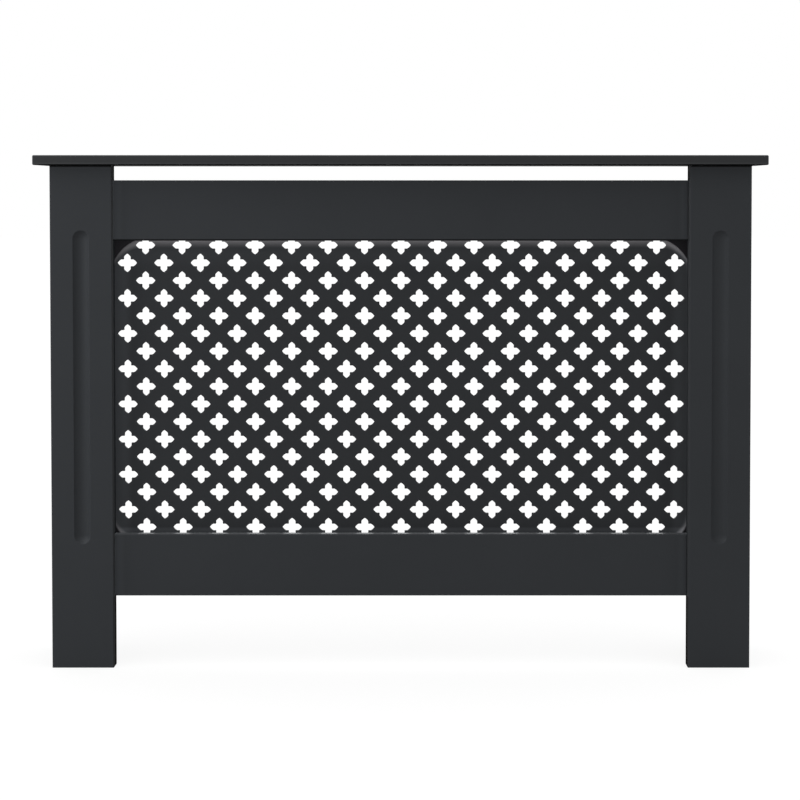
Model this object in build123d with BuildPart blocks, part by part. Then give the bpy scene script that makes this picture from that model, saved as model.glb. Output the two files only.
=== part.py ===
from build123d import *
import os

# Radiator cover cabinet in painted board.
#
# Two stiles and two rails make the front frame. A fluted post covers each stile, so the
# rails lie one board's thickness behind the posts. A pierced grille board is screwed to
# the back of the frame. Side panels give the depth, and the shelf closes the top.
#
# The frame of reference: X is the width, +Y points to the wall and +Z is up. The origin
# is the middle of the cabinet's footprint on the floor. All sizes are in millimetres.

# Driving dimensions
overall_width = 1120
overall_depth = 190
overall_height = 790
board = 15  # thickness of every board but the grille board
shelf_end_overhang = 22
shelf_front_overhang = 24
post_width = 95
outlet_slot_height = 23  # from the upper rail to the shelf
upper_rail_height = 93
lower_rail_height = 96
inlet_height = 109  # from the floor to the lower rail

flute_width = 25
flute_depth = 7
flute_length = 483
flute_bottom = 192

grille_thickness = 12
grille_rim = 15  # full thickness left around the recess
recess_depth = 7
recess_corner_radius = 65
recess_hidden_side = 8  # how far the recess runs behind each post
recess_hidden_top = 5.5
recess_hidden_bottom = 25.5
cove_radius = 8  # the hollow curve from the recess floor up to the face

holes_across = 16  # in the longer rows; the rows between them have one hole fewer
holes_down = 17
hole_pitch = 56.6
row_pitch = 27.45
pattern_height = 432  # from the floor to the middle row
hole_half_width = 15.1
hole_half_height = 14.4
arm_half = 5.25  # half the width of one arm of a hole
arm_end = 4.2  # straight part of an arm's side
arm_bulge = 0.5

batten = 20  # section of the corner battens and shelf cleats
batten_floor_gap = 30
cleat_wall_gap = 10

bracket_leg = 40
bracket_thickness = 2.5
bracket_width = 20
bracket_bend = 3
bracket_height = 700  # from the floor to the bracket's middle
wall_hole_from_side = 24
wall_screw_radius = 2.75

arris = 1.5  # softened edges of posts and side panels
shelf_arris = 2
rail_arris = 2
flute_arris = 1
batten_arris = 1

screw_radius = 2
screw_head_radius = 3.9
screw_head_height = 2.2
screw_point = 5
screw_slot_length = 4
screw_slot_width = 1
screw_slot_depth = 1.2
post_screw_length = 25
batten_screw_length = 30
grille_screw_length = 20
bracket_screw_length = 12
dowel_radius = 4
dowel_chamfer = 0.8
rail_dowel_length = 40
shelf_dowel_length = 24
fit_gap = 0.1  # clearance all round a screw or dowel

# Where the fixings go
post_screw_x = 472
post_screw_heights = (60, 277, 493, 710)
batten_to_stile_heights = (90, 390, 690)
batten_to_side_heights = (120, 420, 660)
cleat_to_side_depths = (12, 55)
cleat_to_shelf_depths = (-5, 30, 75)
bracket_screw_depths = (63, 80)
grille_side_heights = (200, 310, 420, 530, 640)
grille_rail_places = (-360, -180, 0, 180, 360)
upper_dowel_heights = (680, 726)
lower_dowel_heights = (131, 181)
shelf_dowel_places = (463, 503)

# Worked out from the driving dimensions
body_height = overall_height - board
body_half = overall_width / 2 - shelf_end_overhang
opening_half = body_half - post_width
side_inner = body_half - board
wall_y = overall_depth / 2
post_front = shelf_front_overhang - wall_y
frame_front = post_front + board
frame_back = frame_front + board
frame_middle = (frame_front + frame_back) / 2
grille_back = frame_back + grille_thickness
web_front = frame_back + recess_depth
upper_rail_top = body_height - outlet_slot_height
upper_rail_bottom = upper_rail_top - upper_rail_height
lower_rail_top = inlet_height + lower_rail_height
post_middle_x = opening_half + post_width / 2

flute_radius = ((flute_width / 2) ** 2 + flute_depth**2) / (2 * flute_depth)
flute_axis_y = post_front + flute_depth - flute_radius
flute_low = flute_bottom + flute_width / 2
flute_high = flute_bottom + flute_length - flute_width / 2

cove_reach = (cove_radius**2 - (cove_radius - recess_depth) ** 2) ** 0.5
recess_half = opening_half + recess_hidden_side
recess_top = upper_rail_bottom + recess_hidden_top
recess_bottom = lower_rail_top - recess_hidden_bottom
recess_height = recess_top - recess_bottom
recess_middle = (recess_top + recess_bottom) / 2

batten_inner = side_inner - batten
cleat_bottom = body_height - batten
cleat_length = wall_y - cleat_wall_gap - frame_back
bracket_inner = side_inner - bracket_thickness
wall_hole_x = side_inner - wall_hole_from_side

screw_hole = screw_radius + fit_gap
screw_head_hole = screw_head_radius + fit_gap
dowel_hole = dowel_radius + fit_gap

LEFT = -1
RIGHT = 1
TO_WALL = (0, 1, 0)
DOWN = (0, 0, -1)
ALONG_X = (1, 0, 0)


def upright_plane(y):
    """The upright plane at depth y whose X and Y are the cabinet's X and Z; it looks forwards."""
    return Plane.XZ.offset(-y)


def inwards(side):
    """The direction from one side of the cabinet towards its middle."""
    return (-side, 0, 0)


def planes_on(direction, points):
    """One plane for each point, on a face that looks in the given direction."""
    return [Plane(origin=point, z_dir=direction) for point in points]


def write(piece, name):
    """Label a finished piece and write it as one STEP file."""
    piece.part.label = name
    export_step(piece.part, f"parts/{name}.step")


# A screw's plane lies on the face that its head is flush with, and looks out of it.
def post_screw_planes(side):
    """Through the stile into the back of the post."""
    return planes_on(TO_WALL, [(side * post_screw_x, frame_back, z) for z in post_screw_heights])


def batten_to_stile_planes(side):
    """Through the corner batten into the stile."""
    x = side * (batten_inner + batten / 2)
    return planes_on(TO_WALL, [(x, frame_back + batten, z) for z in batten_to_stile_heights])


def batten_to_side_planes(side):
    """Through the corner batten into the side panel."""
    y = frame_back + batten / 2
    return planes_on(inwards(side), [(side * batten_inner, y, z) for z in batten_to_side_heights])


def cleat_to_side_planes(side):
    """Through the shelf cleat into the side panel."""
    z = cleat_bottom + batten / 2
    return planes_on(inwards(side), [(side * batten_inner, y, z) for y in cleat_to_side_depths])


def cleat_to_shelf_planes(side):
    """Up through the shelf cleat into the shelf."""
    x = side * (batten_inner + batten / 2)
    return planes_on(DOWN, [(x, y, cleat_bottom) for y in cleat_to_shelf_depths])


def bracket_screw_planes(side):
    """Through the wall bracket into the side panel."""
    x = side * bracket_inner
    return planes_on(inwards(side), [(x, y, bracket_height) for y in bracket_screw_depths])


def rail_dowel_planes(side, heights):
    """Where the dowels cross the joint between a stile and the end of a rail."""
    return planes_on(ALONG_X, [(side * opening_half, frame_middle, z) for z in heights])


def shelf_dowel_planes(side):
    """Where the dowels cross the joint between the top of a stile and the shelf."""
    return planes_on(DOWN, [(side * x, frame_middle, body_height) for x in shelf_dowel_places])


def grille_side_planes(side):
    """Through the grille board's rim into a stile."""
    x = side * (recess_half + grille_rim / 2)
    return planes_on(TO_WALL, [(x, grille_back, z) for z in grille_side_heights])


def grille_rail_planes(height):
    """Through the grille board's rim into a rail."""
    return planes_on(TO_WALL, [(x, grille_back, height) for x in grille_rail_places])


upper_grille_planes = grille_rail_planes(recess_top + grille_rim / 2)
lower_grille_planes = grille_rail_planes(recess_bottom - grille_rim / 2)
grille_planes = grille_side_planes(LEFT) + grille_side_planes(RIGHT)
grille_planes += upper_grille_planes + lower_grille_planes


def make_post(side):
    """One post: a flat board with a round-nosed flute down its face."""
    with BuildPart() as post:
        with BuildSketch(Plane.XY):
            with Locations((side * post_middle_x, (post_front + frame_front) / 2)):
                Rectangle(post_width, board)
        extrude(amount=body_height)
        fillet(post.edges().filter_by(Axis.Z).group_by(Axis.Y)[0], arris)
        with Locations((side * post_middle_x, flute_axis_y, (flute_low + flute_high) / 2)):
            Cylinder(flute_radius, flute_high - flute_low, mode=Mode.SUBTRACT)
        with Locations(
            (side * post_middle_x, flute_axis_y, flute_low),
            (side * post_middle_x, flute_axis_y, flute_high),
        ):
            Sphere(flute_radius, mode=Mode.SUBTRACT)
        fillet(post.faces().sort_by(Axis.Y)[0].inner_wires()[0].edges(), flute_arris)
        with Locations(*post_screw_planes(side)):
            Hole(screw_hole, depth=post_screw_length + fit_gap)
    return post


def make_stile(side):
    """One upright of the front frame, hidden behind its post."""
    stile_width = side_inner - opening_half
    with BuildPart() as stile:
        with BuildSketch(Plane.XY):
            with Locations((side * (opening_half + stile_width / 2), frame_middle)):
                Rectangle(stile_width, board)
        extrude(amount=body_height)
        with Locations(*post_screw_planes(side)):
            CounterSinkHole(screw_hole, screw_head_hole)
        with Locations(*batten_to_stile_planes(side)):
            Hole(screw_hole, depth=batten_screw_length + fit_gap)
        with Locations(*grille_side_planes(side)):
            Hole(screw_hole, depth=grille_screw_length + fit_gap)
        with Locations(*rail_dowel_planes(side, upper_dowel_heights + lower_dowel_heights)):
            Hole(dowel_hole, depth=rail_dowel_length / 2 + fit_gap)
        with Locations(*shelf_dowel_planes(side)):
            Hole(dowel_hole, depth=shelf_dowel_length / 2 + fit_gap)
    return stile


def make_side_panel(side):
    """One side panel, from the back of the post to the wall."""
    with BuildPart() as side_panel:
        with BuildSketch(Plane.XY):
            with Locations((side * (body_half - board / 2), (frame_front + wall_y) / 2)):
                Rectangle(board, wall_y - frame_front)
        extrude(amount=body_height)
        outer_face = side_panel.faces().sort_by(Axis.X)[0 if side == LEFT else -1]
        fillet(outer_face.edges().filter_by(Axis.Z), arris)
        with Locations(*batten_to_side_planes(side), *cleat_to_side_planes(side)):
            Hole(screw_hole, depth=batten_screw_length + fit_gap)
        with Locations(*bracket_screw_planes(side)):
            Hole(screw_hole, depth=bracket_screw_length + fit_gap)
    return side_panel


def make_rail(bottom, top, dowel_heights, grille_planes):
    """One rail of the front frame, between the stiles."""
    with BuildPart() as rail:
        with BuildSketch(upright_plane(frame_back)):
            with Locations((0, (bottom + top) / 2)):
                Rectangle(2 * opening_half, top - bottom)
        extrude(amount=board)
        fillet(rail.faces().sort_by(Axis.Y)[0].edges(), rail_arris)
        for side in (LEFT, RIGHT):
            with Locations(*rail_dowel_planes(side, dowel_heights)):
                Hole(dowel_hole, depth=rail_dowel_length / 2 + fit_gap)
        with Locations(*grille_planes):
            Hole(screw_hole, depth=grille_screw_length + fit_gap)
    return rail


def make_corner_batten(side):
    """The square batten in the corner of a stile and its side panel."""
    with BuildPart() as corner_batten:
        with BuildSketch(Plane.XY.offset(batten_floor_gap)):
            with Locations((side * (batten_inner + batten / 2), frame_back + batten / 2)):
                Rectangle(batten, batten)
        extrude(amount=cleat_bottom - batten_floor_gap)
        free_side = corner_batten.edges().filter_by(Axis.Z).group_by(Axis.Y)[-1]
        fillet(free_side.sort_by(Axis.X)[-1 if side == LEFT else 0], batten_arris)
        with Locations(*batten_to_stile_planes(side), *batten_to_side_planes(side)):
            CounterSinkHole(screw_hole, screw_head_hole)
    return corner_batten


def make_shelf_cleat(side):
    """The square batten between a side panel and the shelf."""
    with BuildPart() as shelf_cleat:
        with BuildSketch(Plane.XY.offset(cleat_bottom)):
            with Locations((side * (batten_inner + batten / 2), frame_back + cleat_length / 2)):
                Rectangle(batten, cleat_length)
        extrude(amount=batten)
        free_side = shelf_cleat.edges().filter_by(Axis.Y).group_by(Axis.Z)[0]
        fillet(free_side.sort_by(Axis.X)[-1 if side == LEFT else 0], batten_arris)
        with Locations(*cleat_to_side_planes(side), *cleat_to_shelf_planes(side)):
            CounterSinkHole(screw_hole, screw_head_hole)
    return shelf_cleat


def make_wall_bracket(side):
    """A steel angle: one leg on the side panel, the other flat on the wall."""
    low = bracket_height - bracket_width / 2
    with BuildPart() as wall_bracket:
        with BuildSketch(Plane.XY.offset(low)):
            with BuildLine():
                Polyline(
                    (side * side_inner, wall_y),
                    (side * side_inner, wall_y - bracket_leg),
                    (side * bracket_inner, wall_y - bracket_leg),
                    (side * bracket_inner, wall_y - bracket_thickness),
                    (side * (side_inner - bracket_leg), wall_y - bracket_thickness),
                    (side * (side_inner - bracket_leg), wall_y),
                    close=True,
                )
            make_face()
        extrude(amount=bracket_width)
        bends = wall_bracket.edges().filter_by(Axis.Z).group_by(Axis.Y)
        fillet(bends[-1].sort_by(Axis.X)[0 if side == LEFT else -1], bracket_bend)
        with Locations(*bracket_screw_planes(side)):
            CounterSinkHole(screw_hole, screw_head_hole)
        with Locations(*planes_on(TO_WALL, [(side * wall_hole_x, wall_y, bracket_height)])):
            Hole(wall_screw_radius)
    return wall_bracket


def make_screws(length, planes):
    """Countersunk cross-head wood screws, one driven into each plane."""
    with BuildPart() as screw:
        with BuildSketch(Plane.XZ):
            with BuildLine():
                Polyline(
                    (0, 0),
                    (screw_head_radius, 0),
                    (screw_radius, -screw_head_height),
                    (screw_radius, screw_point - length),
                    (0, -length),
                    close=True,
                )
            make_face()
        revolve(axis=Axis.Z)
        with BuildSketch(Plane.XY):
            Rectangle(screw_slot_length, screw_slot_width)
            Rectangle(screw_slot_width, screw_slot_length)
        extrude(amount=-screw_slot_depth, mode=Mode.SUBTRACT)
    with BuildPart() as screws:
        with Locations(*planes):
            add(screw.part)
    return screws


def make_dowels(length, planes):
    """Wooden dowels, each with its middle in one of the planes."""
    with BuildPart() as dowels:
        with Locations(*planes):
            Cylinder(dowel_radius, length)
        chamfer(dowels.edges().filter_by(GeomType.CIRCLE), dowel_chamfer)
    return dowels


os.makedirs("parts", exist_ok=True)

with BuildPart() as top_shelf:
    with BuildSketch(Plane.XY.offset(body_height)):
        Rectangle(overall_width, overall_depth)
    extrude(amount=board)
    wall_edges = top_shelf.faces().sort_by(Axis.Y)[-1].edges()
    fillet(top_shelf.edges() - wall_edges, shelf_arris)
    for side in (LEFT, RIGHT):
        with Locations(*shelf_dowel_planes(side)):
            Hole(dowel_hole, depth=shelf_dowel_length / 2 + fit_gap)
        with Locations(*cleat_to_shelf_planes(side)):
            Hole(screw_hole, depth=batten_screw_length + fit_gap)
write(top_shelf, "top_shelf")

# The outline of one pierced hole: a cross with pointed arms.
with BuildSketch() as cross_hole:
    with BuildLine():
        SagittaArc((hole_half_width, 0), (arm_half + arm_end, arm_half), -arm_bulge)
        Polyline(
            (arm_half + arm_end, arm_half),
            (arm_half, arm_half),
            (arm_half, arm_half + arm_end),
        )
        SagittaArc((arm_half, arm_half + arm_end), (0, hole_half_height), -arm_bulge)
        mirror(about=Plane.YZ)
        mirror(about=Plane.XZ)
    make_face()

# What is cut out of the grille board: the recess in its face, which a round-nosed cutter
# leaves with a hollow curve all round, and the screw holes in its rim.
cutter_margin = cove_radius - cove_reach
with BuildPart() as grille_cuts:
    with BuildSketch(upright_plane(web_front)):
        with Locations((0, recess_middle)):
            RectangleRounded(
                2 * (recess_half + cutter_margin),
                recess_height + 2 * cutter_margin,
                recess_corner_radius + cutter_margin,
            )
    extrude(amount=cove_radius + recess_depth)
    fillet(grille_cuts.faces().sort_by(Axis.Y)[-1].edges(), cove_radius)
    with Locations(*grille_planes):
        CounterSinkHole(screw_hole, screw_head_hole, depth=2 * grille_thickness, mode=Mode.ADD)

with BuildPart() as grille_board:
    with BuildSketch(upright_plane(grille_back)):
        with Locations((0, recess_middle)):
            Rectangle(2 * (recess_half + grille_rim), recess_height + 2 * grille_rim)
        with Locations((0, pattern_height)):
            with GridLocations(hole_pitch, 2 * row_pitch, holes_across - 1, (holes_down + 1) // 2):
                add(cross_hole.sketch, mode=Mode.SUBTRACT)
            with GridLocations(hole_pitch, 2 * row_pitch, holes_across, holes_down // 2):
                add(cross_hole.sketch, mode=Mode.SUBTRACT)
    extrude(amount=grille_thickness, clean=False)
    add(grille_cuts.part, mode=Mode.SUBTRACT, clean=False)
write(grille_board, "grille_board")

upper_rail = make_rail(upper_rail_bottom, upper_rail_top, upper_dowel_heights, upper_grille_planes)
write(upper_rail, "upper_rail")
lower_rail = make_rail(inlet_height, lower_rail_top, lower_dowel_heights, lower_grille_planes)
write(lower_rail, "lower_rail")

for side, hand in ((LEFT, "left"), (RIGHT, "right")):
    batten_screw_planes = batten_to_stile_planes(side) + batten_to_side_planes(side)
    write(make_post(side), f"{hand}_post")
    write(make_stile(side), f"{hand}_stile")
    write(make_side_panel(side), f"{hand}_side_panel")
    write(make_corner_batten(side), f"{hand}_corner_batten")
    write(make_shelf_cleat(side), f"{hand}_shelf_cleat")
    write(make_wall_bracket(side), f"{hand}_wall_bracket")
    write(make_screws(post_screw_length, post_screw_planes(side)), f"{hand}_post_screws")
    write(make_screws(batten_screw_length, batten_screw_planes), f"{hand}_batten_screws")
    write(make_screws(batten_screw_length, cleat_to_side_planes(side)), f"{hand}_cleat_screws")
    write(make_screws(batten_screw_length, cleat_to_shelf_planes(side)), f"{hand}_shelf_screws")
    write(make_screws(bracket_screw_length, bracket_screw_planes(side)), f"{hand}_bracket_screws")
    write(make_dowels(shelf_dowel_length, shelf_dowel_planes(side)), f"{hand}_shelf_dowels")

for rail_name, heights in (("upper", upper_dowel_heights), ("lower", lower_dowel_heights)):
    planes = rail_dowel_planes(LEFT, heights) + rail_dowel_planes(RIGHT, heights)
    write(make_dowels(rail_dowel_length, planes), f"{rail_name}_rail_dowels")

write(make_screws(grille_screw_length, grille_planes), "grille_screws")
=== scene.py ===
"""The looks of a radiator cover cabinet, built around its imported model.

The boards, battens and dowels are the solids of the model and get their finishes here.
The pierced grille board, the wall brackets and the screws are modelled anew, with softened
edges, in the places of their solids. A plain studio and the camera complete the scene.

Lengths are metres. +X runs to the right, +Y to the wall and +Z up.
"""

import logging
import math
from abc import ABC, abstractmethod
from collections.abc import Callable, Iterable, Iterator
from contextlib import contextmanager
from dataclasses import dataclass
from enum import Enum

import bmesh
import bpy
from mathutils import Matrix, Vector


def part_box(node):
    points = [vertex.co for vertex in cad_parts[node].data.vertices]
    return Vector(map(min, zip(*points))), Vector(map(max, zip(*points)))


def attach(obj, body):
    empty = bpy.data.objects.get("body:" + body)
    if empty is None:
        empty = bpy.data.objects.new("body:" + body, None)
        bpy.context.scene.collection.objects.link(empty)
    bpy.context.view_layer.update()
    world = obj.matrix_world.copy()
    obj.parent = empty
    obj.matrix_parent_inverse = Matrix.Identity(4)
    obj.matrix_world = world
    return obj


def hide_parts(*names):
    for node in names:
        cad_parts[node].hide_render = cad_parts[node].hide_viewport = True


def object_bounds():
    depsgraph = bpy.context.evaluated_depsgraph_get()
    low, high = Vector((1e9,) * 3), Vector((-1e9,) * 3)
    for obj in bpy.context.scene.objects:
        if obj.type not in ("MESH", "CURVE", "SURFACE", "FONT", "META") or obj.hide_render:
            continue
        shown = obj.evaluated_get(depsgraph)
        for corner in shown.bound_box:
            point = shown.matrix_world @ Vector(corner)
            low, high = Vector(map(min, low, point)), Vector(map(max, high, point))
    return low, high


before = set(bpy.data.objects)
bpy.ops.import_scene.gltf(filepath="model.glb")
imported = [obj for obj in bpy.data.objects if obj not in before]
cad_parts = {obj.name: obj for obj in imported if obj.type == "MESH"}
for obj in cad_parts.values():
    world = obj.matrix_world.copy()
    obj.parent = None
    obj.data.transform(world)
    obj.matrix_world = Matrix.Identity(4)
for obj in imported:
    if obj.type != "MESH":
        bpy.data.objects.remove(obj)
cad_low, cad_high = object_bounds()

log = logging.getLogger("cabinet")

ROOT_BODY = "root"
TOLERANCE = 1e-5
MERGE_DISTANCE = 1e-6
SMOOTH_ANGLE = math.radians(35)

Colour = tuple[float, float, float]
Socket = bpy.types.NodeSocket

BLACK: Colour = (0.0, 0.0, 0.0)
WHITE: Colour = (1.0, 1.0, 1.0)


class Slot(Enum):
    """The material slots of the pieces that are modelled anew."""

    GRILLE = "painted_grille"
    BRACKET = "plated_steel"
    SCREW = "plated_screw"


class Side(Enum):
    """The two sides of the cabinet, each with its sign along X."""

    LEFT = -1
    RIGHT = 1

    @property
    def hand(self) -> str:
        """The side's name as the nodes spell it."""
        return self.name.lower()


class Axis(Enum):
    """The three axes, as unit vectors."""

    X = (1.0, 0.0, 0.0)
    Y = (0.0, 1.0, 0.0)
    Z = (0.0, 0.0, 1.0)

    @property
    def number(self) -> int:
        """The axis's place in a vector."""
        return self.value.index(1.0)


class Kind(Enum):
    """What a selection in edit mode is made of."""

    EDGE = "EDGE"
    FACE = "FACE"


# ---------------------------------------------------------------------------------------
# Modelling steps
# ---------------------------------------------------------------------------------------


def select_only(*pieces: bpy.types.Object) -> None:
    """Select these objects alone; the first becomes the active one."""
    bpy.ops.object.select_all(action="DESELECT")
    for piece in pieces:
        piece.select_set(True)
    bpy.context.view_layer.objects.active = pieces[0]


def name_piece(piece: bpy.types.Object, name: str) -> bpy.types.Object:
    """Give an object and its mesh the same name."""
    piece.name = name
    piece.data.name = name
    return piece


def apply_place(piece: bpy.types.Object) -> None:
    """Move an object's place, turn and scale into its mesh."""
    select_only(piece)
    bpy.ops.object.transform_apply(location=True, rotation=True, scale=True)


def add_box(name: str, low: Vector, high: Vector) -> bpy.types.Object:
    """Add a box between two opposite corners.

    Args:
        name: What the new object is called.
        low: Its lowest corner.
        high: Its highest corner.

    Returns:
        The box, with its place in its mesh.
    """
    bpy.ops.object.select_all(action="DESELECT")
    bpy.ops.mesh.primitive_cube_add(size=1, location=(low + high) / 2, scale=high - low)
    box = name_piece(bpy.context.object, name)
    apply_place(box)
    return box


def add_turned(name: str, profile: list[tuple[float, float]], segments: int) -> bpy.types.Object:
    """Add a closed shape turned about Z.

    Args:
        name: What the new object is called.
        profile: The radius and the height of each ring, from one end face to the other.
        segments: How many sides a ring has.

    Returns:
        The shape.
    """
    (radius, height), *rings = profile
    bpy.ops.object.select_all(action="DESELECT")
    bpy.ops.mesh.primitive_circle_add(
        vertices=segments, radius=radius, location=(0, 0, height), fill_type="NGON"
    )
    piece = name_piece(bpy.context.object, name)
    apply_place(piece)
    with editing(piece):
        bpy.ops.mesh.select_all(action="SELECT")
        for next_radius, next_height in rings:
            extrude_by(Vector((0, 0, next_height - height)))
            scale_about(Vector((0, 0, next_height)), (next_radius / radius, next_radius / radius, 1.0))
            radius, height = next_radius, next_height
    close_mesh(piece)
    return piece


@contextmanager
def editing(piece: bpy.types.Object) -> Iterator[None]:
    """Hold one object in edit mode with nothing selected."""
    select_only(piece)
    bpy.ops.object.mode_set(mode="EDIT")
    bpy.ops.mesh.select_all(action="DESELECT")
    try:
        yield
    finally:
        bpy.ops.object.mode_set(mode="OBJECT")


def pick(piece: bpy.types.Object, kind: Kind, test: Callable[..., bool]) -> None:
    """Select what passes a test, in edit mode, and nothing else.

    Args:
        piece: The object in edit mode.
        kind: Whether edges or faces are tested.
        test: Says yes to each element that is wanted.
    """
    bpy.ops.mesh.select_mode(type=kind.value)
    bpy.ops.mesh.select_all(action="DESELECT")
    mesh = bmesh.from_edit_mesh(piece.data)
    for element in mesh.edges if kind is Kind.EDGE else mesh.faces:
        if test(element):
            element.select_set(True)
    mesh.select_flush_mode()
    bmesh.update_edit_mesh(piece.data)


def runs_along(edge: bmesh.types.BMEdge, axis: Axis) -> bool:
    """Whether an edge is parallel to an axis."""
    run = edge.verts[1].co - edge.verts[0].co
    return abs(run[axis.number]) > (1 - TOLERANCE) * run.length


def lies_at(element: bmesh.types.BMEdge | bmesh.types.BMFace, axis: Axis, value: float) -> bool:
    """Whether all corners of an edge or face have one coordinate."""
    return all(abs(vertex.co[axis.number] - value) < TOLERANCE for vertex in element.verts)


def extrude_by(step: Vector) -> None:
    """Extrude the selection by a vector."""
    bpy.ops.mesh.extrude_region_move(TRANSFORM_OT_translate={"value": step})


def scale_about(centre: Vector, scale: tuple[float, float, float]) -> None:
    """Scale the selection about a point."""
    bpy.ops.transform.resize(value=scale, center_override=centre)


def apply_modifier(piece: bpy.types.Object, kind: str, **settings: object) -> None:
    """Add one modifier to an object, set it and apply it."""
    select_only(piece)
    modifier = piece.modifiers.new(kind.title(), kind)
    for setting, value in settings.items():
        setattr(modifier, setting, value)
    bpy.ops.object.modifier_apply(modifier=modifier.name)


def cut_out(piece: bpy.types.Object, cutter: bpy.types.Object) -> None:
    """Take a closed shape out of a piece, and delete the shape."""
    apply_modifier(piece, "BOOLEAN", operation="DIFFERENCE", solver="EXACT", object=cutter)
    bpy.data.objects.remove(cutter)


def copy_of(piece: bpy.types.Object, name: str) -> bpy.types.Object:
    """Copy an object together with its mesh."""
    twin = piece.copy()
    twin.data = piece.data.copy()
    bpy.context.scene.collection.objects.link(twin)
    return name_piece(twin, name)


def join_pieces(name: str, pieces: list[bpy.types.Object]) -> bpy.types.Object:
    """Join objects into the first of them and name the result."""
    select_only(*pieces)
    bpy.ops.object.join()
    return name_piece(pieces[0], name)


def close_mesh(piece: bpy.types.Object) -> None:
    """Merge doubled vertices and point every face outwards."""
    with editing(piece):
        bpy.ops.mesh.select_all(action="SELECT")
        bpy.ops.mesh.remove_doubles(threshold=MERGE_DISTANCE)
        bpy.ops.mesh.normals_make_consistent(inside=False)


def smooth(piece: bpy.types.Object) -> None:
    """Shade smooth, but for sharp edges."""
    select_only(piece)
    bpy.ops.object.shade_smooth_by_angle(angle=SMOOTH_ANGLE)


# ---------------------------------------------------------------------------------------
# Node trees
# ---------------------------------------------------------------------------------------


@dataclass(frozen=True)
class Wiring:
    """A node tree with short calls that add nodes to it."""

    tree: bpy.types.NodeTree

    def feed(self, socket: Socket, value: object) -> None:
        """Link an output to an input, or set the input to a plain value."""
        if isinstance(value, Socket):
            self.tree.links.new(value, socket)
        else:
            socket.default_value = value

    def add(self, kind: str, inputs: dict | None = None, **settings: object) -> bpy.types.Node:
        """Add one node.

        Args:
            kind: The node's type.
            inputs: What feeds its inputs, by name or number.
            settings: Its other properties.

        Returns:
            The new node.
        """
        node = self.tree.nodes.new(kind)
        for setting, value in settings.items():
            setattr(node, setting, value)
        for key, value in (inputs or {}).items():
            self.feed(node.inputs[key], value)
        return node

    def math(self, operation: str, a: object, b: object = 0.0, clamp: bool = False) -> Socket:
        """Combine two numbers."""
        node = self.add("ShaderNodeMath", {0: a, 1: b}, operation=operation, use_clamp=clamp)
        return node.outputs[0]

    def vector(self, operation: str, a: object, b: object = (0, 0, 0)) -> Socket:
        """Combine two vectors into one."""
        return self.add("ShaderNodeVectorMath", {0: a, 1: b}, operation=operation).outputs["Vector"]

    def per_metre(self, size: object) -> Socket:
        """The texture scale at which a texture's features have a size."""
        return self.math("DIVIDE", 1.0, size)

    def dot(self, a: object, b: object) -> Socket:
        """The dot product of two vectors."""
        return self.add("ShaderNodeVectorMath", {0: a, 1: b}, operation="DOT_PRODUCT").outputs["Value"]

    def length(self, a: object) -> Socket:
        """The length of a vector."""
        return self.add("ShaderNodeVectorMath", {0: a}, operation="LENGTH").outputs["Value"]

    def split(self, a: object) -> tuple[Socket, Socket, Socket]:
        """The X, Y and Z of a vector."""
        outputs = self.add("ShaderNodeSeparateXYZ", {0: a}).outputs
        return outputs[0], outputs[1], outputs[2]

    def fade(self, value: object, start: object, end: object) -> Socket:
        """Turn a range of values smoothly into 0 to 1, clamped at both ends."""
        inputs = {"Value": value, "From Min": start, "From Max": end}
        node = self.add("ShaderNodeMapRange", inputs, interpolation_type="SMOOTHSTEP")
        return node.outputs["Result"]

    def ramp(self, value: object, start: object, end: object) -> Socket:
        """Turn a range of values evenly into 0 to 1, clamped at both ends."""
        inputs = {"Value": value, "From Min": start, "From Max": end}
        return self.add("ShaderNodeMapRange", inputs).outputs["Result"]

    def spread(self, value: object, low: float, high: float) -> Socket:
        """Stretch a 0 to 1 value over another range."""
        inputs = {"Value": value, "To Min": low, "To Max": high}
        return self.add("ShaderNodeMapRange", inputs).outputs["Result"]

    def blend(self, factor: object, a: object, b: object) -> Socket:
        """Mix two colours, whose sockets go by number because their names aren't unique."""
        node = self.add("ShaderNodeMix", data_type="RGBA")
        for place, value in ((0, factor), (6, a), (7, b)):
            self.feed(node.inputs[place], value)
        return node.outputs[2]

    def noise(self, vector: object, scale: object, detail: float, roughness: float = 0.5) -> Socket:
        """Soft noise between 0 and 1."""
        inputs = {"Vector": vector, "Scale": scale, "Detail": detail, "Roughness": roughness}
        return self.add("ShaderNodeTexNoise", inputs).outputs["Fac"]


def opaque(colour: Colour) -> tuple[float, float, float, float]:
    """A colour with full alpha."""
    return (*colour, 1.0)


@dataclass(frozen=True)
class Port:
    """One named input or output of a node group."""

    name: str
    kind: str = "NodeSocketFloat"
    value: object = None


def start_group(
    name: str, inputs: list[Port], outputs: list[Port]
) -> tuple[Wiring, dict[str, Socket], bpy.types.Node]:
    """Begin a shader node group.

    Args:
        name: What the group is called.
        inputs: Its inputs, with the values they start from.
        outputs: Its outputs.

    Returns:
        The wiring of its tree, its inputs' sockets by name, and its output node.
    """
    tree = bpy.data.node_groups.new(name, "ShaderNodeTree")
    for in_out, ports in (("INPUT", inputs), ("OUTPUT", outputs)):
        for port in ports:
            socket = tree.interface.new_socket(port.name, in_out=in_out, socket_type=port.kind)
            if port.value is not None:
                socket.default_value = port.value
    wiring = Wiring(tree)
    entry = wiring.add("NodeGroupInput")
    given = {port.name: entry.outputs[port.name] for port in inputs}
    return wiring, given, wiring.add("NodeGroupOutput")


VECTOR = "NodeSocketVector"
COLOUR = "NodeSocketColor"


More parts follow.
